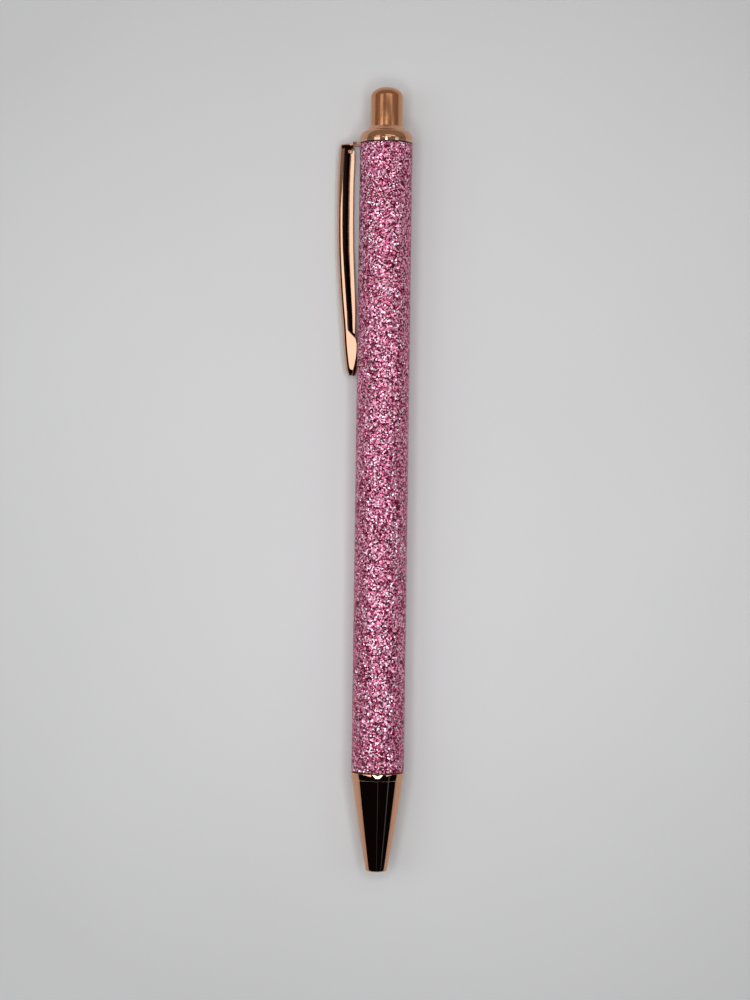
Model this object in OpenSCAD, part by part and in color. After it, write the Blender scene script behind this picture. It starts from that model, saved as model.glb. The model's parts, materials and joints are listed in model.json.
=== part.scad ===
// Retractable gel pen: a slim glitter-wrapped metal barrel with plated nose cone, clip, collar and push button,
// a click mechanism in the tail and a replaceable gel refill.
//
// Every piece is drawn along +Z in pen space: z = 0 is the front end of the nose cone, the push button points
// to +Z and the clip is on the +X side. The module lying() then lays the pen on its side: the tip points to -Y,
// the button to +Y, and the pen has rolled until its clip rests on the surface at z = 0.

/* [Overall] */
// Length from the nose cone's front end to the top of the released button
overall_length = 142; // [138:0.5:146]
// Outer diameter of the glitter barrel
barrel_d = 9.5; // [9.4:0.05:9.7]

/* [Nose cone] */
// Length of the nose cone in front of the barrel
nose_length = 18; // [17.5:0.1:18.5]
// Diameter of the rim that meets the barrel, which the clip ring shares
rim_d = 9.76; // [9.7:0.02:9.9]
// Diameter of the front end
nose_tip_d = 3.8; // [3.7:0.05:4.2]
// How far the cone's side bulges from straight
nose_bulge = 0.1; // [0:0.05:0.3]

/* [Tail] */
// Thickness of the clip's sheet metal
sheet = 0.45; // [0.4:0.05:0.5]
// Height of the collar above the clip ring
collar_height = 2.5; // [2.3:0.1:2.7]
// Diameter of the push button
button_d = 5.8; // [5.7:0.05:5.84]
// How far the push button travels when pressed home
button_travel = 5.4; // [4.5:0.1:5.4]

/* [Refill] */
// Outer diameter of the refill's ink tube
refill_d = 5.9; // [5.7:0.05:5.9]
// Length of the refill from ball to tail
refill_length = 98; // [97:0.5:98.5]
// Diameter of the rolling ball
ball_d = 0.7; // [0.5:0.1:0.8]
// How deep the ball sits inside the nose cone when the pen is closed
ball_recess = 1; // [0.8:0.1:1.4]

/* [Refill spring] */
// Outside diameter of the coils
spring_d = 3.6; // [3.4:0.05:3.7]
// Diameter of the wire
wire_d = 0.3; // [0.25:0.05:0.35]
// Number of turns
spring_turns = 12; // [9:1:13]

/* [Hidden] */
$fn = 96;

// Colours
rose_gold = [0.80, 0.54, 0.42];
glitter_pink = [0.72, 0.36, 0.50];
raw_brass = [0.78, 0.66, 0.36];
spring_steel = [0.70, 0.71, 0.73];
milky = [0.90, 0.91, 0.90];

// Barrel wall, from the outside in
wrap_t = 0.2;
wrap_gap = 0.15;
tube_wall = 0.4;
barrel_r = barrel_d / 2;
tube_r = barrel_r - wrap_t;
tube_bore_r = tube_r - tube_wall;

// Stations along the pen
barrel_start = nose_length;
button_top = overall_length;
button_rise = 7.3;
collar_top = button_top - button_rise;
ring_top = collar_top - collar_height;
barrel_end = ring_top - sheet;

// Screw joint of the nose cone
thread_pitch = 0.75;
thread_depth = 0.25;
thread_r = tube_bore_r - 0.45;
bush_bore_r = thread_r + 0.05;
shank_length = 5.5;
nose_bush_length = 5.7;

// Nose cone: its rim, and the steps of its bore
rim_r = rim_d / 2;
rim_height = 1.3;
rim_fall = 0.12;
cone_top_r = rim_r - 0.18;
tip_bore_r = 1.3;
spring_seat = 2.6;
spring_bore_r = spring_d / 2 + 0.15;
holder_bore_from = 7.4;
holder_bore_r = 2.3;
tube_bore_from = 13.8;
nose_tube_bore_r = refill_d / 2 + 0.1;

// Clip ring, collar and upper bush
skirt_r = tube_bore_r - 0.35;
skirt_bore_r = skirt_r - 0.38;
skirt_length = 6;
upper_bush_length = 6.55;
collar_bore_r = button_d / 2 + 0.08;
collar_base_r = rim_r - 0.04;
collar_mouth_r = 3.1;
bead_height = 1.65;
bead_inset = 1.06;

// Click mechanism. The rotor and the stem's splines run in the gaps between the sleeve's four stop blocks.
stops = 4;
sleeve_front = 104;
sleeve_shoulder = barrel_end - upper_bush_length;
sleeve_bore_r = 3.46;
neck_bore_r = button_d / 2 + 0.07;
stop_r = 2.7;
stop_angle = 56;
stop_front = 114.6;
stop_rear = 121.2;
spline_angle = 26;
spline_r = 3.38;
stem_r = 2.62;
stem_front = 118;
stem_socket_r = 1.6;
stem_socket_depth = 6;
rotor_rear = 117;
rotor_rib_front = 111.5;
rotor_pin_r = 1.5;
rotor_pin_length = 4.5;
cap_wall = 0.28;
cap_front = stop_rear + button_travel + 0.4;
cap_dome = 1.8;

// Refill stations, from the ball's front end backwards
ball_front = ball_recess;
refill_rear = ball_front + refill_length;
tip_r = 1.2;
tip_cone_length = 2.5;
tip_rear = ball_front + 11;
holder_front = ball_front + 8;
holder_neck_r = spring_d / 2 - wire_d - 0.08;
holder_shoulder = ball_front + 12;
holder_r = 2.2;
tube_front = holder_shoulder + 6.5;
tube_bore = 2.25;
holder_rear = tube_front + 4.5;
tube_rear = refill_rear - 3;
ink_rear = 78;
follower_rear = 84;
plug_insert = 5;

// The clip's crown line starts on the tab, turns the corner and runs along the barrel. Each row of clip_rows is
// [z, distance of the crown from the pen's axis, depth of the flange on the leaf's side, depth of the other
// flange, half width]. The first flange widens into the leaf near the clip's end.
tab_from = 6.2;
tab_half_w = 1.42;
corner_r = 1;
clip_gap = 0.05;
clip_rows = [
    [ring_top - corner_r, 9.26, 1.6, 2.29, tab_half_w],
    [129, 9.43, 1.6, 2.46, 1.42],
    [125, 9.56, 1.6, 2.46, 1.42],
    [121, 9.58, 1.6, 2.46, 1.42],
    [117, 9.55, 1.6, 2.48, 1.4],
    [113, 9.45, 1.63, 2.49, 1.38],
    [109, 9.23, 1.72, 2.49, 1.36],
    [105, 8.93, 1.78, 2.45, 1.33],
    [101.5, 8.58, 1.72, 2.26, 1.3],
    [99.5, 8.36, 1.6, 2.07, 1.28],
    [98, 8.22, 1.57, 1.93, 1.26],
    [97.2, 8.16, 2.31, 1.93, 1.25],
    [96.4, 8.11, 3.12, 1.99, 1.24],
    [95.4, 8.03, 3.26, 2.09, 1.2],
    [94.2, 7.91, 3.1, 2.11, 1.15],
    [93, 7.77, 2.8, 2.06, 1.08],
    [91.8, 7.62, 2.34, 1.94, 1],
    [90.9, 7.45, 1.85, 1.68, 0.9],
    [90.2, 7.25, 1.35, 1.38, 0.78],
    [89.8, 7.01, 0.95, 1.08, 0.65]
];

// The channel's section: a round crown from which two flanges run inwards and flare apart a little
bend_r = 1.36;
bend_steps = 7;
leaf_flare = 4;
back_flare = 10.8;

// Half of the section, [inward, sideways], from the flange's edge to the crown
function half_outline(depth, half_w, r, flare) =
    let (
        side = min(r, half_w), down = min(r, depth),
        bend = [for (i = [bend_steps : -1 : 0]) let (t = (90 - flare) * i / bend_steps)
            [down * (cos(t) - 1), half_w - side + side * sin(t)]]
    )
    concat([[-depth, bend[0][1] + (depth + bend[0][0]) * tan(flare)]], bend);

// The section's skin, from the back flange's edge over the crown to the leaf flange's edge
function skin(leaf_depth, back_depth, half_w, r) =
    let (
        leaf = half_outline(leaf_depth, half_w, r, leaf_flare),
        back = half_outline(back_depth, half_w, r, back_flare)
    )
    concat([for (p = back) [p[0], -p[1]]], [for (i = [len(leaf) - 1 : -1 : 0]) leaf[i]]);

// Furthest reach of a row's channel in a direction turned from the clip's own
function channel_reach(row, turn) = max([for (p = skin(row[2], row[3], row[4], bend_r))
    (row[1] + p[0]) * cos(turn) - p[1] * sin(turn)]);

// Roll at which the channel of that row just touches the surface, found step by step
function resting_roll(row, roll, steps) = steps == 0 ? roll :
    resting_roll(row, roll + (axis_z - channel_reach(row, 90 - roll)) / row[1] * 180 / PI, steps - 1);

// Lying on its side, the pen rests on its two rims and on the clip.
axis_z = rim_r;
rest_row = clip_rows[3];
clip_roll = resting_roll(rest_row, 15, 20);
clip_reach = channel_reach(rest_row, -clip_roll);
axis_x = (clip_reach - rim_r) / 2;

// ---------- helpers ----------

module lying()
    translate([axis_x, -overall_length / 2, axis_z])
    rotate([-90, 0, 0])
    rotate([0, 0, 180 - clip_roll])
    children();

module ring_solid(r_out, r_in, from, to)
    translate([0, 0, from])
    difference() {
        cylinder(r = r_out, h = to - from);
        translate([0, 0, -1]) cylinder(r = r_in, h = to - from + 2);
    }

module turned(outline) rotate_extrude() polygon(outline);

// A sector of a ring, centred on the +X direction
module ring_sector(r_out, r_in, angle, from, to)
    translate([0, 0, from])
    rotate([0, 0, -angle / 2])
    rotate_extrude(angle = angle)
    translate([r_in, 0])
    square([r_out - r_in, to - from]);

module around(count) for (i = [0 : count - 1]) rotate([0, 0, i * 360 / count]) children();

// Points of an arc in the outline plane, from one angle to another
function arc(centre, r, from, to, steps) =
    [for (i = [0 : steps]) let (t = from + (to - from) * i / steps) centre + r * [cos(t), sin(t)]];

// Points of a quarter ellipse from the side [r, base] up to the axis side [r - a, base + b]
function quarter(r, base, a, b, steps) =
    [for (i = [0 : steps]) let (t = 90 * i / steps) [r - a + a * cos(t), base + b * sin(t)]];

// Thread crests and roots along a shank, drawn as rings
function thread_outline(r, from, turns) =
    [for (i = [0 : turns - 1]) for (p = [[r - thread_depth, 0.1], [r, 0.4], [r, 0.5], [r - thread_depth, 0.8]])
        [p[0], from + (i + p[1]) * thread_pitch]];

// ---------- barrel ----------

module glitter_wrap()
    color(glitter_pink)
    let (edge = 0.1, from = barrel_start + wrap_gap, to = barrel_end - wrap_gap)
    turned([
        [tube_r, from], [barrel_r - edge, from], [barrel_r, from + edge],
        [barrel_r, to - edge], [barrel_r - edge, to], [tube_r, to]
    ]);

module barrel_tube() color(raw_brass) ring_solid(tube_r, tube_bore_r, barrel_start, barrel_end);

module nose_bush()
    color(raw_brass)
    ring_solid(tube_bore_r, bush_bore_r, barrel_start + 0.3, barrel_start + 0.3 + nose_bush_length);

module upper_bush()
    color(raw_brass)
    ring_solid(tube_bore_r, skirt_r, barrel_end - upper_bush_length, barrel_end);

// ---------- nose cone ----------

// Radius of the cone's side at height z: a straight taper plus a shallow bulge
function nose_side(z) =
    let (top = nose_length - rim_height, end_r = nose_tip_d / 2, f = z / top)
    end_r + (cone_top_r - end_r) * f + nose_bulge * 4 * f * (1 - f);

module nose_cone()
    color(rose_gold)
    let (
        cone_top = nose_length - rim_height,
        end_round = 0.4,
        side = [for (i = [1 : 12]) let (z = end_round + (cone_top - end_round) * i / 12) [nose_side(z), z]],
        rim = [for (i = [0 : 8]) let (f = 1 - i / 8)
            [rim_r - rim_fall * f * f, nose_length - 0.06 - (rim_height - 0.1) * f]],
        shank = thread_outline(thread_r, nose_length + 0.9, 6)
    )
    turned(concat(
        [[tip_bore_r, 0.15], [tip_bore_r + 0.15, 0]],
        arc([nose_side(end_round) - end_round, end_round], end_round, -90, -10, 5),
        side, rim,
        [[tube_r, nose_length], [thread_r - thread_depth, nose_length]],
        shank,
        [[thread_r - thread_depth, nose_length + shank_length], [nose_tube_bore_r, nose_length + shank_length],
         [nose_tube_bore_r, tube_bore_from], [holder_bore_r, tube_bore_from - 0.7],
         [holder_bore_r, holder_bore_from], [spring_bore_r, holder_bore_from - 0.3],
         [spring_bore_r, spring_seat], [tip_bore_r, spring_seat]]
    ));

// ---------- collar and clip ----------

// A round bead with a cone above it, and a skirt that goes down inside the upper bush
module collar()
    color(rose_gold)
    let (edge = 0.06)
    turned(concat(
        [[collar_base_r - edge, ring_top]],
        quarter(collar_base_r, ring_top + edge, bead_inset, bead_height, 12),
        [[collar_mouth_r, collar_top],
         [collar_bore_r, collar_top], [collar_bore_r, ring_top + 0.6], [skirt_bore_r, ring_top + 0.4],
         [skirt_bore_r, ring_top - skirt_length], [skirt_r - 0.15, ring_top - skirt_length],
         [skirt_r, ring_top - skirt_length + 0.15], [skirt_r, ring_top]]
    ));

module clip_ring()
    color(rose_gold)
    difference() {
        union() {
            translate([0, 0, barrel_end]) cylinder(d = rim_d, h = sheet);
            translate([0, -tab_half_w, barrel_end]) cube([tab_from - clip_gap, 2 * tab_half_w, sheet]);
        }
        translate([0, 0, barrel_end - 1]) cylinder(r = skirt_r, h = sheet + 2);
    }

// Column c of the clip's rows at height z
function clip_at(z, c) = lookup(z, [for (row = clip_rows) [row[0], row[c]]]);

// Stations along the crown line: [x, z, tangent angle, leaf flange depth, back flange depth, half width].
// Under the tab the back flange forms a cheek, which closes the channel's upper end.
function clip_stations() =
    let (
        first = clip_rows[0], turns = 6, tab_depth = sheet + 0.02, cheek_depth = corner_r - 0.05,
        cheek_from = first[1] - first[3], lead = 0.2, below = ring_top - corner_r - lead
    )
    concat(
        [[tab_from, ring_top, 0, tab_depth, tab_depth, tab_half_w],
         [cheek_from, ring_top, 0, tab_depth, tab_depth, tab_half_w],
         [cheek_from + lead, ring_top, 0, tab_depth, cheek_depth, tab_half_w]],
        [for (i = [0 : turns]) let (t = 90 * i / turns)
            [first[1] - corner_r + corner_r * sin(t), ring_top - corner_r + corner_r * cos(t), t,
             tab_depth + (first[2] - tab_depth) * i / turns, cheek_depth, tab_half_w]],
        [[clip_at(below, 1), below, 90, clip_at(below, 2), clip_at(below, 3), tab_half_w]],
        [for (i = [1 : len(clip_rows) - 1]) for (part = [0.5, 1])
            let (z = clip_rows[i - 1][0] + (clip_rows[i][0] - clip_rows[i - 1][0]) * part)
            [clip_at(z, 1), z, 90, clip_at(z, 2), clip_at(z, 3), clip_at(z, 4)]]
    );

// One section of the channel: the outer skin from edge to edge, then back along the inner skin
function clip_section(s) =
    let (
        outer = skin(s[3], s[4], s[5], bend_r),
        inner = [for (p = skin(s[3] - sheet, s[4] - sheet, s[5] - sheet, bend_r - sheet)) [p[0] - sheet, p[1]]],
        n = len(outer)
    )
    [for (p = concat(outer, [for (i = [n - 1 : -1 : 0]) inner[i]]))
        [s[0] + p[0] * sin(s[2]), p[1], s[1] + p[0] * cos(s[2])]];

// Skin of a body swept through rings of equal length, closed at both ends
module swept(rings)
    let (
        n = len(rings[0]), last = len(rings) - 1,
        sides = [for (k = [0 : last - 1]) for (j = [0 : n - 1])
            let (a = k * n + j, b = k * n + (j + 1) % n) each [[a, b, b + n], [a, b + n, a + n]]],
        front = [[for (j = [n - 1 : -1 : 0]) j]],
        back = [[for (j = [0 : n - 1]) last * n + j]]
    )
    polyhedron(points = [for (ring = rings) each ring], faces = concat(sides, front, back), convexity = 8);

module clip_arm()
    color(rose_gold)
    swept([for (s = clip_stations()) clip_section(s)]);

// ---------- click mechanism ----------

// Block in the sleeve's bore with a slanted front end, where the rotor's rib comes to rest
module stop_block()
    let (root = 0.3, lead = 0.8, slope = 24)
    intersection() {
        ring_sector(sleeve_bore_r + root, stop_r, stop_angle, stop_front, stop_rear);
        translate([0, 0, stop_front + lead])
            rotate([slope, 0, 0])
            translate([0, -tube_r, 0])
            cube([2 * tube_r, 2 * tube_r, 2 * (stop_rear - stop_front)]);
    }

module cam_sleeve()
    color(milky)
    let (neck_front = sleeve_shoulder - 0.8, neck_rear = ring_top + 0.3)
    union() {
        turned([
            [tube_bore_r, sleeve_front], [tube_bore_r, sleeve_shoulder], [skirt_bore_r, sleeve_shoulder],
            [skirt_bore_r, neck_rear], [neck_bore_r, neck_rear], [neck_bore_r, neck_front],
            [sleeve_bore_r, neck_front], [sleeve_bore_r, sleeve_front]
        ]);
        rotate([0, 0, 45]) around(stops) stop_block();
    }

module plunger_stem()
    color([0.16, 0.16, 0.17])
    difference() {
        union() {
            translate([0, 0, stem_front]) cylinder(r = stem_r, h = button_top - cap_wall - cap_dome - stem_front);
            around(stops)
                ring_sector(spline_r, stem_r - 0.2, spline_angle, stem_front + 0.4, sleeve_shoulder - 0.85);
        }
        translate([0, 0, stem_front - 1]) cylinder(r = stem_socket_r, h = stem_socket_depth + 1);
        // saw teeth on the front end, two to each stop
        around(2 * stops)
            translate([0, 0, stem_front + 0.55])
            rotate([38, 0, 0])
            translate([0, -1.2, -1.2])
            cube([stem_r + 0.05, 1.2, 1.2]);
    }

module button_cap()
    color(rose_gold)
    let (r = button_d / 2, base = button_top - cap_dome)
    turned(concat(
        [[stem_r, cap_front], [r - 0.08, cap_front], [r, cap_front + 0.08]],
        quarter(r, base, r, cap_dome, 12),
        [[0, base - cap_wall], [stem_r, base - cap_wall]]
    ));

module rotor()
    color([0.86, 0.87, 0.86])
    difference() {
        union() {
            translate([0, 0, refill_rear]) cylinder(r = 2.3, h = 8);
            translate([0, 0, refill_rear + 6]) cylinder(r = stem_r, h = rotor_rear - refill_rear - 6);
            translate([0, 0, rotor_rear - 1]) cylinder(r = rotor_pin_r, h = rotor_pin_length + 1);
            around(stops)
                ring_sector(spline_r, stem_r - 0.2, spline_angle, rotor_rib_front, stem_front);
        }
        // slanted rear ends of the ribs
        around(stops)
            translate([stem_r - 0.3, 0, stem_front - 0.55])
            rotate([24, 0, 0])
            translate([0, -3, 0])
            cube([2, 6, 2]);
        translate([0, 0, refill_rear - 1]) cylinder(r = 1.4, h = 7);
    }

// ---------- refill ----------

// Height of the spring's wire centre after a turn count: closed turns at the ends, open ones between
function spring_z(turn) =
    let (
        closed = 1.5, closed_pitch = wire_d * 1.1,
        low = spring_seat + wire_d / 2, high = holder_shoulder - wire_d / 2,
        open = (high - low - 2 * closed * closed_pitch) / (spring_turns - 2 * closed)
    )
    low + min(turn, closed) * closed_pitch
        + max(0, min(turn, spring_turns - closed) - closed) * open
        + max(0, turn - spring_turns + closed) * closed_pitch;

module refill_spring()
    color(spring_steel)
    let (
        steps = 20, sides = 6,
        coil_r = (spring_d - wire_d) / 2, wire_r = wire_d / 2,
        rings = [for (i = [0 : spring_turns * steps]) let (t = i * 360 / steps)
            [for (j = [0 : sides - 1]) let (a = -j * 360 / sides, r = coil_r + wire_r * cos(a))
                [r * cos(t), r * sin(t), spring_z(i / steps) + wire_r * sin(a)]]]
    )
    swept(rings);

module refill_tube() color([0.93, 0.93, 0.95]) ring_solid(refill_d / 2, tube_bore, tube_front, tube_rear);

module refill_ink()
    color([0.06, 0.06, 0.08])
    translate([0, 0, holder_rear]) cylinder(r = tube_bore, h = ink_rear - holder_rear);

module ink_follower()
    color([0.93, 0.86, 0.62])
    let (dish = 0.5)
    turned(concat([[0, ink_rear], [tube_bore, ink_rear], [tube_bore, follower_rear]],
        [for (i = [1 : 6]) let (t = 15 * i) [tube_bore * cos(t), follower_rear - dish * sin(t)]]));

module refill_tail_plug()
    color([0.20, 0.20, 0.22])
    difference() {
        union() {
            translate([0, 0, tube_rear]) cylinder(r = refill_d / 2, h = refill_rear - tube_rear);
            translate([0, 0, tube_rear - plug_insert]) cylinder(r = tube_bore, h = plug_insert);
        }
        translate([0, 0, tube_rear - plug_insert - 1]) cylinder(r = 0.5, h = plug_insert + 5);
        // slots between the castellations of the tail
        around(3) translate([0, -0.6, refill_rear - 1.6]) cube([refill_d, 1.2, 2]);
    }

module tip_holder()
    color([0.95, 0.95, 0.93])
    turned([
        [tip_r, holder_front], [holder_neck_r - 0.1, holder_front], [holder_neck_r, holder_front + 0.1],
        [holder_neck_r, holder_shoulder], [holder_r - 0.15, holder_shoulder], [holder_r, holder_shoulder + 0.15],
        [holder_r, tube_front - 0.75], [refill_d / 2 - 0.25, tube_front - 0.3], [refill_d / 2 - 0.1, tube_front],
        [tube_bore, tube_front], [tube_bore, holder_rear], [0.5, holder_rear], [0.5, tip_rear], [tip_r, tip_rear]
    ]);

module refill_tip()
    color([0.80, 0.79, 0.76])
    let (ball_r = ball_d / 2, mouth = ball_front + ball_r * 0.55, point_r = ball_r * 1.15)
    difference() {
        turned([
            [0, mouth], [point_r, mouth], [point_r + 0.12, mouth + 0.5],
            [tip_r, ball_front + tip_cone_length], [tip_r, tip_rear], [0, tip_rear]
        ]);
        translate([0, 0, ball_front + ball_r]) sphere(r = ball_r + 0.02);
        translate([0, 0, ball_front + ball_r]) cylinder(r = ball_r * 0.55, h = 2);
        translate([0, 0, ball_front + 2]) cylinder(r = 0.5, h = refill_length);
    }

module writing_ball()
    color([0.55, 0.56, 0.58])
    translate([0, 0, ball_front + ball_d / 2]) sphere(d = ball_d);

// ---------- assembly ----------

lying() glitter_wrap();
lying() barrel_tube();
lying() nose_bush();
lying() upper_bush();
lying() nose_cone();
lying() collar();
lying() clip_ring();
lying() clip_arm();
lying() cam_sleeve();
lying() plunger_stem();
lying() button_cap();
lying() rotor();
lying() refill_spring();
lying() refill_tube();
lying() refill_ink();
lying() ink_follower();
lying() refill_tail_plug();
lying() tip_holder();
lying() refill_tip();
lying() writing_ball();
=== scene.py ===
"""Looks of the gel pen: camera, stage, lights, materials and finer pieces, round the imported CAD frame."""
import bmesh
import bpy
import json
import math
from mathutils import Matrix, Vector


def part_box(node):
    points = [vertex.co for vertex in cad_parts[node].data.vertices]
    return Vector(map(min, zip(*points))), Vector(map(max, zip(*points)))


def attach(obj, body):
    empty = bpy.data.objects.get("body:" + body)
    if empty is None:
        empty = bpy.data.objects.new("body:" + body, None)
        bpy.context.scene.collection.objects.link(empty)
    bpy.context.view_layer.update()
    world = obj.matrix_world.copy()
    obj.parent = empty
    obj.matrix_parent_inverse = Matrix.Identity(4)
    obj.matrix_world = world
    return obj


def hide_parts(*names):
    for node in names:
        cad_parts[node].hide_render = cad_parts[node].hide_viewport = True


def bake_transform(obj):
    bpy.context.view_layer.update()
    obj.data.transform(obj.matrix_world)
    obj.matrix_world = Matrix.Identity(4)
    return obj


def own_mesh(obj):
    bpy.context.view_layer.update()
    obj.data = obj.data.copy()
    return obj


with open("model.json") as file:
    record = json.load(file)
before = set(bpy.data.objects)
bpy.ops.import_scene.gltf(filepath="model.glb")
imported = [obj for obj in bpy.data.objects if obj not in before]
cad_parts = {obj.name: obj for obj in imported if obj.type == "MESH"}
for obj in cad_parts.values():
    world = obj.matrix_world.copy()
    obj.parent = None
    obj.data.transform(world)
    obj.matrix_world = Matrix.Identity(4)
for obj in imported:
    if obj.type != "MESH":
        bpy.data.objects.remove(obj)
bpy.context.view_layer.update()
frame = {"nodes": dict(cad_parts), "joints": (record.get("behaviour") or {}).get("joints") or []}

MM = 0.001
TINY = 0.001 * MM             # lengths below this count as nothing

# ---------- places, worked out from the frame ----------

WRAP_LOW, WRAP_HIGH = (Vector(corner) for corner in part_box("glitter_wrap"))
AXIS = (WRAP_LOW + WRAP_HIGH) / 2     # a point on the pen's axis, at the middle of the wrap
PEN_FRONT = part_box("nose_cone")[0][1]
PEN_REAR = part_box("button_cap")[1][1]
PEN_MIDDLE = Vector((AXIS.x, (PEN_FRONT + PEN_REAR) / 2, AXIS.z))

# ---------- camera ----------

CAMERA_HEIGHT = 407 * MM      # above the pen's axis
CAMERA_FIELD = 25.1           # degrees, over the picture's height
CAMERA_ROLL = 0.8             # degrees: the pen's button end leans right in the picture
CAMERA_SENSOR = 36            # mm
CAMERA_SEES = (0.01, 20)      # m: nearest and furthest
PEN_OFFSET = (1.2, 3.8)       # mm: where the pen's middle lies from the picture's centre, right and up


def make_camera():
    data = bpy.data.cameras.new("photo_camera")
    data.sensor_width = CAMERA_SENSOR
    data.lens = CAMERA_SENSOR / 2 / math.tan(math.radians(CAMERA_FIELD / 2))
    data.clip_start, data.clip_end = CAMERA_SEES
    camera = bpy.data.objects.new("photo_camera", data)
    bpy.context.scene.collection.objects.link(camera)
    turn = Matrix.Rotation(math.radians(CAMERA_ROLL), 4, "Z")
    right, up = turn @ Vector((1, 0, 0)), turn @ Vector((0, 1, 0))
    place = PEN_MIDDLE - right * PEN_OFFSET[0] * MM - up * PEN_OFFSET[1] * MM
    camera.matrix_world = Matrix.Translation(place + Vector((0, 0, CAMERA_HEIGHT))) @ turn
    bpy.context.scene.camera = camera


# ---------- node helpers ----------


def set_stops(ramp, stops):
    """Gives a colour ramp its stops, each a place from 0 to 1 and a colour."""
    while len(ramp.elements) < len(stops):
        ramp.elements.new(0.5)
    for element, (place, colour) in zip(ramp.elements, stops):
        element.position, element.color = place, (*colour, 1)


class Nodes:
    """Short calls for building one material's node tree."""

    def __init__(self, name):
        self.material = bpy.data.materials.new(name)
        self.material.use_nodes = True
        self.tree = self.material.node_tree
        self.shader = self.tree.nodes["Principled BSDF"]

    def add(self, kind, inputs=None, **settings):
        node = self.tree.nodes.new(kind)
        for key, value in settings.items():
            setattr(node, key, value)
        for key, value in (inputs or {}).items():
            self.feed(node.inputs[key], value)
        return node

    def feed(self, socket, value):
        if isinstance(value, bpy.types.NodeSocket):
            self.tree.links.new(value, socket)
        else:
            socket.default_value = value

    def set(self, **values):
        for key, value in values.items():
            self.feed(self.shader.inputs[key.replace("_", " ")], value)

    def position(self):
        return self.add("ShaderNodeTexCoord").outputs["Object"]

    def math(self, operation, a, b):
        return self.add("ShaderNodeMath", {0: a, 1: b}, operation=operation).outputs[0]

    def scaled(self, vector, by):
        return self.add("ShaderNodeVectorMath", {0: vector, "Scale": by}, operation="SCALE").outputs[0]

    def remap(self, value, low, high, to_low, to_high):
        return self.add("ShaderNodeMapRange", {
            "Value": value, "From Min": low, "From Max": high, "To Min": to_low, "To Max": to_high,
        }).outputs["Result"]

    def noise(self, scale, detail, vector=None):
        return self.add("ShaderNodeTexNoise", {
            "Vector": vector or self.position(), "Scale": scale, "Detail": detail,
        }).outputs["Fac"]

    def ramp(self, value, stops):
        node = self.add("ShaderNodeValToRGB", {"Fac": value})
        set_stops(node.color_ramp, stops)
        return node.outputs["Color"]

    def bump(self, height, distance, strength):
        return self.add("ShaderNodeBump", {
            "Height": height, "Distance": distance, "Strength": strength,
        }).outputs["Normal"]


# ---------- stage and light ----------

FLOOR_REACH = 3                     # m, each way from the pen
FLOOR_COLOUR = (0.772, 0.784, 0.797)
FLOOR_MOTTLE = 0.975                # share of the colour that the darker patches keep
# Painted light falloff: the floor's colour darkens with the square of the distance from its lightest spot,
# down to a share of its colour
PAINTED_LIGHT_SPOT = (12 * MM, 0, 0)
PAINTED_FALLOFF_RATE = 14                     # share lost, per square metre
PAINTED_FALLOFF_LIMIT = 0.84
BACKDROP_COLOUR = (0.60, 0.595, 0.59)
# The room that the metal mirrors is dark in front and paler beyond the button end. Each stop is the Y of a
# direction, and the colour that is seen there.
ROOM_TONES = ((0.06, (0.004, 0.004, 0.0045)), (0.16, (0.24, 0.22, 0.21)), (0.5, (0.30, 0.26, 0.23)))
RING_MIDDLE = (0, -35 * MM)
RING_RADII = (108 * MM, 162 * MM)
RING_STEPS = 96
RING_STRENGTH = 7.7
LAMP_WHITE = (1, 1, 1)
WINDOW_BLUE = (0.3, 0.58, 1.0)
# Overhead strips: name, x and y from the pen's middle in mm, colour, strength
STRIPS = (
    ("left_strip", (-900, -210), (-165, 170), LAMP_WHITE, 1.6),
    ("right_strip", (310, 760), (-165, 170), LAMP_WHITE, 1.05),
    ("rear_strip_left", (-450, -207), (190, 285), LAMP_WHITE, 0.9),
    ("rear_strip_right", (-36, 330), (190, 285), LAMP_WHITE, 1.1),
    ("faint_strip_right", (480, 560), (-700, -200), WINDOW_BLUE, 0.26),
    ("faint_strip_middle", (4, 24), (-700, -200), WINDOW_BLUE, 0.13),
)


def add_object(name, mesh):
    thing = bpy.data.objects.new(name, mesh)
    bpy.context.scene.collection.objects.link(thing)
    return thing


def mesh_from(name, fill):
    """A mesh whose geometry the function fill puts into a bmesh."""
    mesh = bpy.data.meshes.new(name)
    build = bmesh.new()
    fill(build)
    bmesh.ops.recalc_face_normals(build, faces=build.faces)
    build.to_mesh(mesh)
    build.free()
    return mesh


def full_turn(steps):
    """The angles that part a full turn into equal steps."""
    return [2 * math.pi * i / steps for i in range(steps)]


def lamp(name, fill, colour, strength):
    """A glowing card level with the camera, which no camera sees."""
    card = add_object(name, mesh_from(name, fill))
    glow = Nodes(name)
    glow.tree.nodes.remove(glow.shader)
    light = glow.add("ShaderNodeEmission", {"Color": (*colour, 1), "Strength": strength})
    glow.tree.links.new(light.outputs[0], glow.tree.nodes["Material Output"].inputs["Surface"])
    card.data.materials.append(glow.material)
    card.location = (AXIS.x, 0, AXIS.z + CAMERA_HEIGHT)
    card.visible_camera = False


def make_lights():
    def ring(build):
        x, y = RING_MIDDLE
        inner, outer = [
            [build.verts.new((x + r * math.cos(t), y + r * math.sin(t), 0)) for t in full_turn(RING_STEPS)]
            for r in RING_RADII
        ]
        for i in range(RING_STEPS):
            j = (i + 1) % RING_STEPS
            build.faces.new((inner[i], inner[j], outer[j], outer[i]))

    lamp("ring_lamp", ring, LAMP_WHITE, RING_STRENGTH)
    for name, (left, right), (front, rear), colour, strength in STRIPS:
        def strip(build):
            corners = ((left, front), (right, front), (right, rear), (left, rear))
            build.faces.new([build.verts.new((x * MM, y * MM, 0)) for x, y in corners])

        lamp(name, strip, colour, strength)


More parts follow.
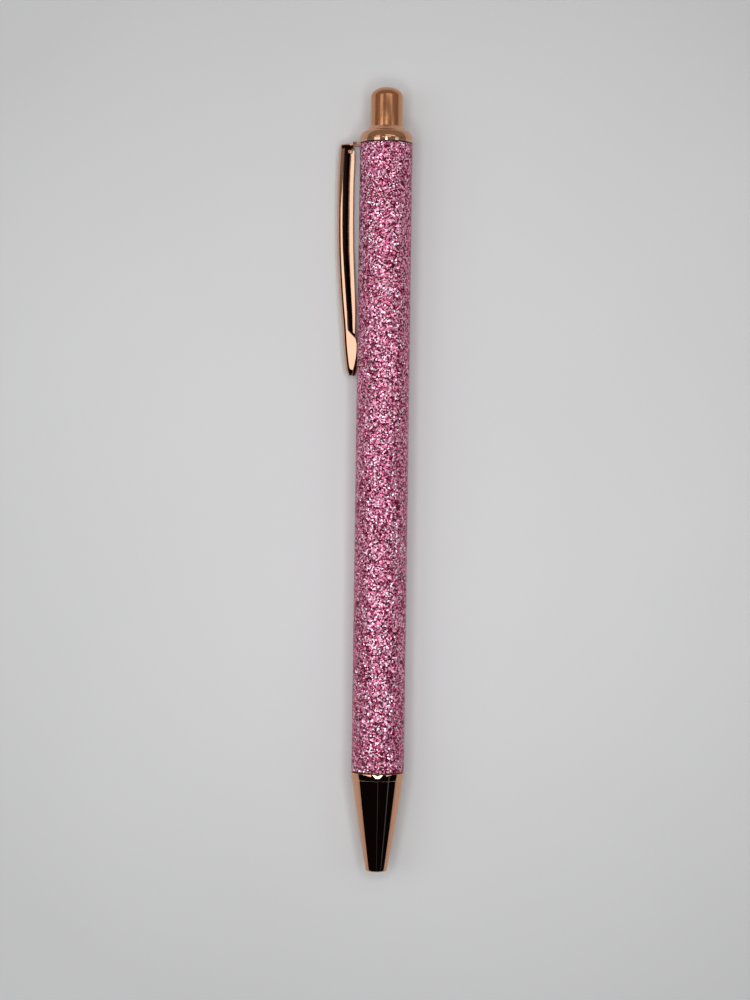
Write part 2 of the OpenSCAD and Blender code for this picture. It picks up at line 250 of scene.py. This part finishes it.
def make_room():
    """A dark room with one pale wall for the metal to mirror; the camera itself sees a plain backdrop."""
    world = bpy.data.worlds.new("room")
    bpy.context.scene.world = world
    world.use_nodes = True
    tree = world.node_tree
    room = tree.nodes["Background"]
    direction = tree.nodes.new("ShaderNodeSeparateXYZ")
    tree.links.new(tree.nodes.new("ShaderNodeTexCoord").outputs["Generated"], direction.inputs[0])
    wall = tree.nodes.new("ShaderNodeValToRGB")
    set_stops(wall.color_ramp, ROOM_TONES)
    tree.links.new(direction.outputs["Y"], wall.inputs["Fac"])
    tree.links.new(wall.outputs["Color"], room.inputs["Color"])
    backdrop = tree.nodes.new("ShaderNodeBackground")
    backdrop.inputs["Color"].default_value = (*BACKDROP_COLOUR, 1)
    mix = tree.nodes.new("ShaderNodeMixShader")
    path = tree.nodes.new("ShaderNodeLightPath")
    tree.links.new(path.outputs["Is Camera Ray"], mix.inputs["Fac"])
    tree.links.new(room.outputs[0], mix.inputs[1])
    tree.links.new(backdrop.outputs[0], mix.inputs[2])
    tree.links.new(mix.outputs[0], tree.nodes["World Output"].inputs["Surface"])


def make_floor():
    floor = add_object("floor", mesh_from("floor", lambda build: bmesh.ops.create_grid(
        build, x_segments=1, y_segments=1, size=FLOOR_REACH)))
    paper = Nodes("floor_paper")
    shade = tuple(channel * FLOOR_MOTTLE for channel in FLOOR_COLOUR)
    tone = paper.ramp(paper.noise(scale=14, detail=3), [(0.35, shade), (0.65, FLOOR_COLOUR)])
    # Painted light falloff: the floor's colour is scaled down with the distance from the painted light spot
    away = paper.add("ShaderNodeVectorMath", {0: paper.position(), 1: PAINTED_LIGHT_SPOT},
                     operation="DISTANCE").outputs["Value"]
    painted_falloff = paper.math("MULTIPLY", paper.math("MULTIPLY", away, away), PAINTED_FALLOFF_RATE)
    light = paper.math("MAXIMUM", paper.math("SUBTRACT", 1.0, painted_falloff), PAINTED_FALLOFF_LIMIT)
    paper.set(Base_Color=paper.scaled(tone, light), Roughness=0.9, Specular_IOR_Level=0.1)
    floor.data.materials.append(paper.material)


# ---------- finer pieces, turned again from the frame's own outlines ----------

TURN_STEPS = 160
EDGE_ROUND = 0.04 * MM
EDGE_STEPS = 4
EDGE_SHARE = 0.4                    # most of a side that one rounded edge may take up
SHARP_ANGLE = math.radians(34)


def outline_of(node):
    """A turned node's outline as (along, radius) points in order, and whether it closes on itself."""
    mesh = frame["nodes"][node].data
    spots, index = [], []
    for vertex in mesh.vertices:
        spot = Vector((vertex.co.y, math.hypot(vertex.co.x - AXIS.x, vertex.co.z - AXIS.z)))
        found = next((i for i, other in enumerate(spots) if (other - spot).length < 2 * TINY), None)
        if found is None:
            spots.append(spot)
        index.append(len(spots) - 1 if found is None else found)
    beside = {i: set() for i in range(len(spots))}
    for edge in mesh.edges:
        a, b = (index[v] for v in edge.vertices)
        if a != b:
            beside[a].add(b)
            beside[b].add(a)
    ends = [i for i, others in beside.items() if len(others) == 1]
    path = [ends[0] if ends else 0]
    while True:
        ahead = [i for i in beside[path[-1]] if i not in path]
        if not ahead:
            break
        path.append(ahead[0])
    if len(path) != len(spots):
        raise ValueError(f"{node} isn't a turned piece")
    return [spots[i] for i in path], not ends


def rounded(points, closed):
    """The outline with its sharp corners turned into small curves."""
    out = []
    count = len(points)
    for i, point in enumerate(points):
        if not closed and i in (0, count - 1):
            out.append(point)
            continue
        before, after = points[i - 1], points[(i + 1) % count]
        back, ahead = before - point, after - point
        bend = math.pi - back.angle(ahead)
        if bend < SHARP_ANGLE:
            out.append(point)
            continue
        reach = min(EDGE_ROUND, back.length * EDGE_SHARE, ahead.length * EDGE_SHARE)
        start, end = point + back.normalized() * reach, point + ahead.normalized() * reach
        for k in range(EDGE_STEPS + 1):
            t = k / EDGE_STEPS
            out.append(start * (1 - t) ** 2 + point * 2 * t * (1 - t) + end * t * t)
    return out


def smooth(mesh):
    mesh.shade_smooth()
    mesh.set_sharp_from_angle(angle=SHARP_ANGLE)


def turned_again(node, body):
    """A fine copy of a turned node, with rounded edges, which stands for it."""
    points, closed = outline_of(node)
    points = rounded(points, closed)

    def fill(build):
        rings = []
        for along, r in points:
            if r < TINY:
                rings.append([build.verts.new((AXIS.x, along, AXIS.z))])
                continue
            rings.append([build.verts.new((AXIS.x + r * math.cos(t), along, AXIS.z + r * math.sin(t)))
                          for t in full_turn(TURN_STEPS)])
        pairs = list(zip(rings, rings[1:])) + ([(rings[-1], rings[0])] if closed else [])
        for one, two in pairs:
            for i in range(TURN_STEPS):
                j = (i + 1) % TURN_STEPS
                corners = [one[i % len(one)], one[j % len(one)], two[j % len(two)], two[i % len(two)]]
                build.faces.new(list(dict.fromkeys(corners)))

    mesh = mesh_from(f"{node}_turned", fill)
    smooth(mesh)
    piece = add_object(f"{node}_turned", mesh)
    return stands_for(piece, body, node)


def stands_for(piece, body, node):
    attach(piece, body)
    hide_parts(node)
    return piece


# A pair of triangles becomes a quad if it is no more bent and no more skewed than this
QUAD_BEND = math.radians(25)
QUAD_SKEW = math.radians(60)


def welded_copy(node, name):
    """A copy of a node's mesh with shared vertices and its triangles joined to quads."""
    mesh = frame["nodes"][node].data.copy()
    mesh.materials.clear()
    build = bmesh.new()
    build.from_mesh(mesh)
    bmesh.ops.remove_doubles(build, verts=build.verts, dist=TINY)
    bmesh.ops.join_triangles(build, faces=build.faces, angle_face_threshold=QUAD_BEND,
                             angle_shape_threshold=QUAD_SKEW)
    build.to_mesh(mesh)
    build.free()
    return add_object(name, mesh)


# The clip is a channel: a crown, and an upper and a lower flange that run from it towards the pen
CHANNEL_START = 6.3 * MM            # from the pen's axis: nearer than this are the ring and the tab
CROWN_HALF = 1.0 * MM               # half width of the crown's inner side
FLANGE_START = 0.2 * MM             # the upper flange lies this far above the clip's middle, or further
LEAF_END = 27.5 * MM                # along the pen from the middle of the wrap: the leaf is nearer the nose
# How far a face looks towards the pen, or down across the channel, to count for the painted shade: cosines
LOOKS_INWARD = -0.25
LOOKS_DOWN = -0.2


def is_inside(face, outward):
    """Whether a clip's face gets painted shade: inside the channel, or on the upper flange's edge beside the
    arm.
    """
    across = Vector((outward.z, 0, -outward.x))
    place = face.center - AXIS
    if place.dot(outward) < CHANNEL_START:
        return False
    side, inward = place.dot(across), face.normal.dot(outward) < LOOKS_INWARD
    crown = inward and abs(side) < CROWN_HALF
    wall = side > FLANGE_START and face.normal.dot(across) < LOOKS_DOWN
    edge = side > FLANGE_START and inward and place.y > LEAF_END
    return crown or wall or edge


ROOT_NEAR = 0.6 * MM                # the arm's root face is this near the pivot, along the pen
ROOT_FLAT = 0.01 * MM               # and its corners differ by less than this in how far out they are
ROOT_REACH = 0.6 * MM               # how far it goes back into the ring


def make_clip():
    """Ring, tab and arm joined as the one stamping that they are; the arm's root, at the clip's flex joint
    where the tab leaves the ring, is pushed back into the ring.
    """
    arm = welded_copy("clip_arm", "clip_stamping")
    ring = welded_copy("clip_ring", "clip_ring_copy")
    pivot = next(Vector(j["pos_m"]) for j in frame["joints"] if j["name"] == "clip_flex")
    outward = Vector((pivot.x - AXIS.x, 0, pivot.z - AXIS.z)).normalized()
    near = [v for v in arm.data.vertices if abs(v.co.y - pivot.y) < ROOT_NEAR]
    root = min(v.co.dot(outward) for v in near)
    for vertex in near:
        if vertex.co.dot(outward) - root < ROOT_FLAT:
            vertex.co -= outward * ROOT_REACH
    join = arm.modifiers.new("one_sheet", "BOOLEAN")
    join.operation, join.object, join.solver = "UNION", ring, "EXACT"
    bpy.context.view_layer.objects.active = arm
    bpy.ops.object.modifier_apply(modifier=join.name)
    bpy.data.objects.remove(ring)
    smooth(arm.data)
    inside = [is_inside(face, outward) for face in arm.data.polygons]
    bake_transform(arm)
    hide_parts("clip_arm", "clip_ring")
    return arm, inside


def make_spring():
    """The coil spring, as a smooth copy of the frame's coil on the spring body. The real spring shortens
    towards its seat in the nose cone as the refill comes forward.
    """
    spring = welded_copy("refill_spring", "refill_spring_coil")
    smooth(spring.data)
    stands_for(spring, "spring", "refill_spring")
    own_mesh(spring)
    return spring


# ---------- materials ----------

ROSE_GOLD = (0.70, 0.36, 0.215)
CLIP_GOLD = (0.72, 0.43, 0.30)
BUTTON_GOLD = (0.68, 0.31, 0.15)


def rose_gold(name, colour, roughness, wear, grain, depth):
    """Plated metal: polish marks drawn along the pen, and a faint haze that changes the gloss in patches."""
    nodes = Nodes(name)
    place = nodes.position()
    drawn = nodes.add("ShaderNodeMapping", {"Vector": place, "Scale": (1, 0.03, 1)}).outputs["Vector"]
    marks = nodes.noise(grain, detail=2, vector=drawn)
    haze = nodes.noise(scale=420, detail=3, vector=place)
    rough = nodes.math("ADD", nodes.remap(haze, 0.35, 0.7, roughness, roughness * 1.6),
                       nodes.remap(marks, 0.45, 0.75, 0, wear))
    tint = nodes.ramp(haze, [(0.3, colour), (0.75, tuple(c * 0.94 for c in colour))])
    nodes.set(Base_Color=tint, Metallic=1.0, Roughness=rough, Normal=nodes.bump(marks, depth, strength=0.4))
    return nodes.material


FLAKE = 0.25 * MM                   # size of a glitter flake
# Each stop is the share of flakes that are darker, and the colour there: the maroons and pinks are the
# flakes' own tones, and the palest, near-white stops are painted glints
FLAKE_TONES_AND_GLINTS = (
    (0.0, (0.13, 0.003, 0.022)), (0.31, (0.26, 0.018, 0.065)), (0.49, (0.72, 0.13, 0.28)),
    (0.73, (1.0, 0.37, 0.57)), (0.9, (1.0, 0.66, 0.82)), (1.0, (1.0, 0.86, 0.94)),
)


def glitter():
    """Pressed glitter: foil flakes that each lean their own way, under a clear coat with a soft ripple."""
    nodes = Nodes("glitter_film")
    place = nodes.position()
    cells = {"Vector": place, "Scale": 1 / FLAKE, "Randomness": 1.0}
    flakes = nodes.add("ShaderNodeTexVoronoi", cells)
    edges = nodes.add("ShaderNodeTexVoronoi", cells, feature="DISTANCE_TO_EDGE")
    lean = nodes.add("ShaderNodeVectorMath", {0: flakes.outputs["Color"], 1: (0.5, 0.5, 0.5)},
                     operation="SUBTRACT").outputs[0]
    facing = nodes.add("ShaderNodeNewGeometry").outputs["Normal"]
    leaning = nodes.add("ShaderNodeVectorMath", {0: facing, 1: lean}, operation="ADD").outputs[0]
    normal = nodes.add("ShaderNodeVectorMath", {0: leaning}, operation="NORMALIZE").outputs[0]
    chance = nodes.add("ShaderNodeSeparateColor", {"Color": flakes.outputs["Color"]}).outputs["Blue"]
    gap = nodes.remap(edges.outputs["Distance"], 0.0, 0.1, 0.55, 1.1)
    # Partly painted glints: the palest flakes' near-white colour stands in for light caught off them
    colour = nodes.scaled(nodes.ramp(chance, FLAKE_TONES_AND_GLINTS), gap)
    ripple = nodes.noise(scale=700, detail=2, vector=place)
    nodes.set(Base_Color=colour, Metallic=0.6, Roughness=0.29, Normal=normal,
              Specular_IOR_Level=0.15, Specular_Tint=(0.55, 0.12, 0.24, 1),
              Coat_Weight=0.08, Coat_Roughness=0.3,
              Coat_Normal=nodes.bump(ripple, distance=0.03 * MM, strength=0.6))
    return nodes.material


def plain(name, colour, roughness, metallic=0.0, gloss=0.5):
    """An even material whose tone, gloss and surface vary a little."""
    nodes = Nodes(name)
    mottle, grain = nodes.noise(scale=600, detail=3), nodes.noise(scale=7000, detail=2)
    tone = nodes.ramp(mottle, [(0.3, tuple(c * 0.88 for c in colour)), (0.7, colour)])
    rough = nodes.remap(mottle, 0.3, 0.7, roughness * 0.85, roughness * 1.15)
    nodes.set(Base_Color=tone, Metallic=metallic, Roughness=rough, Specular_IOR_Level=gloss,
              Normal=nodes.bump(grain, distance=0.002 * MM, strength=0.3))
    return nodes.material


def paint(thing, *materials):
    """Gives a piece or a CAD node its materials."""
    mesh = (frame["nodes"][thing] if isinstance(thing, str) else thing).data
    mesh.materials.clear()
    for material in materials:
        mesh.materials.append(material)


def dress():
    """Makes every finer piece and gives each surface its material."""
    polished = rose_gold("rose_gold_polished", ROSE_GOLD, roughness=0.022, wear=0.015, grain=9000,
                         depth=0.0005 * MM)
    satin = rose_gold("rose_gold_satin", BUTTON_GOLD, roughness=0.10, wear=0.10, grain=2600,
                      depth=0.0008 * MM)
    plated = rose_gold("rose_gold_clip", CLIP_GOLD, roughness=0.025, wear=0.02, grain=7000,
                       depth=0.001 * MM)
    # Painted shade: the faces inside the clip's channel get a near-black, barely glossy material in place of
    # the plated gold
    painted_shade = plain("clip_inside_painted_shade", (0.014, 0.004, 0.003), 0.45, gloss=0.05)
    brass = plain("turned_brass", (0.60, 0.42, 0.16), 0.3, metallic=1.0)
    milky = plain("milky_acetal", (0.78, 0.79, 0.78), 0.4)
    black = plain("black_acetal", (0.02, 0.02, 0.022), 0.4)
    turned = (
        ("glitter_wrap", "barrel", glitter()),
        # Painted shade: the brass tube is coloured near-black, so the thin gaps at the glitter wrap's ends
        # read as shaded lines
        ("barrel_tube", "barrel", plain("tube_painted_shade", (0.03, 0.012, 0.012), 0.5)),
        ("nose_bush", "barrel", brass),
        ("upper_bush", "barrel", brass),
        ("collar", "barrel", polished),
        ("nose_cone", "nose", polished),
        ("button_cap", "plunger", satin),
        ("refill_tube", "refill", milky),
        ("tip_holder", "refill", milky),
        ("refill_ink", "refill", black),
        ("ink_follower", "refill", plain("clear_grease", (0.7, 0.6, 0.3), 0.2)),
    )
    for node, body, material in turned:
        paint(turned_again(node, body), material)
    clip, inside = make_clip()
    paint(clip, plated, painted_shade)
    # Painted shade goes on the faces inside the clip's channel
    for face, painted_dark in zip(clip.data.polygons, inside):
        face.material_index = int(painted_dark)
    paint(make_spring(), plain("spring_steel", (0.55, 0.56, 0.58), 0.25, metallic=1.0))
    paint("refill_tip", plain("nickel_silver", (0.62, 0.60, 0.54), 0.22, metallic=1.0))
    paint("writing_ball", plain("carbide", (0.40, 0.41, 0.43), 0.1, metallic=1.0))
    for node in ("cam_sleeve", "rotor"):
        paint(node, milky)
    for node in ("plunger_stem", "refill_tail_plug"):
        paint(node, black)


make_camera()
make_floor()
make_room()
make_lights()
dress()
bpy.context.scene.view_settings.view_transform = "Standard"
